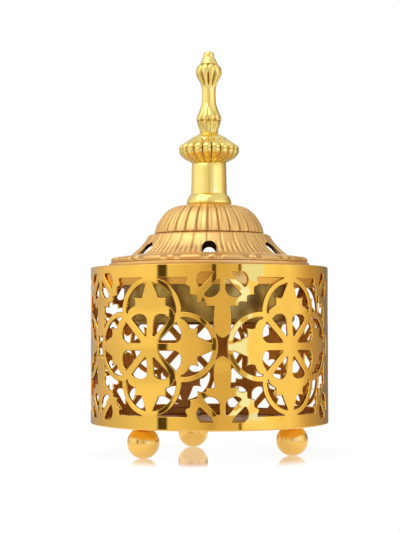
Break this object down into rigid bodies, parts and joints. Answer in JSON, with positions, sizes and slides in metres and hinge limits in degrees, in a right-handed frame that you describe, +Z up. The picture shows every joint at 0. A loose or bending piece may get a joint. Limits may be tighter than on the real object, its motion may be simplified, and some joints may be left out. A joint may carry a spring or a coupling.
{
  "type": "incense burner",
  "caption": "Gold-coloured incense burner: a pierced drum on ball feet holds a charcoal dish under a ribbed, vented lid with a tall turned handle.",
  "frame": {"origin": "on the floor under the drum's axis", "axes": "+Z up along the drum's axis, front towards -Y, right-hand side towards +X"},
  "size_m": [0.075, 0.075, 0.1278],
  "materials": {
    "polished_brass": "polished",
    "cast_brass": "satin",
    "dish_brass": "satin",
    "plated_steel": "satin"
  },
  "bodies": {
    "base": {"drum_shell": "polished_brass", "support_ring": "polished_brass", "base_plate": "polished_brass", "ball_foot_1": "polished_brass", "ball_foot_2": "polished_brass", "ball_foot_3": "polished_brass", "foot_screws": "plated_steel"},
    "dish": {"charcoal_dish": "dish_brass"},
    "lid": {"lid_dome": "cast_brass", "handle_column": "polished_brass", "handle_knop": "polished_brass", "handle_spindle": "polished_brass", "handle_rod": "plated_steel", "lid_washer": "plated_steel", "lid_nut": "plated_steel"}
  },
  "joints": [
    {"name": "dish_lift", "type": "slide", "parent": "base", "child": "dish", "axis": [0, 0, 1], "range_m": [0, 0.03]},
    {"name": "lid_lift", "type": "slide", "parent": "dish", "child": "lid", "axis": [0, 0, 1], "range_m": [0, 0.04]}
  ]
}
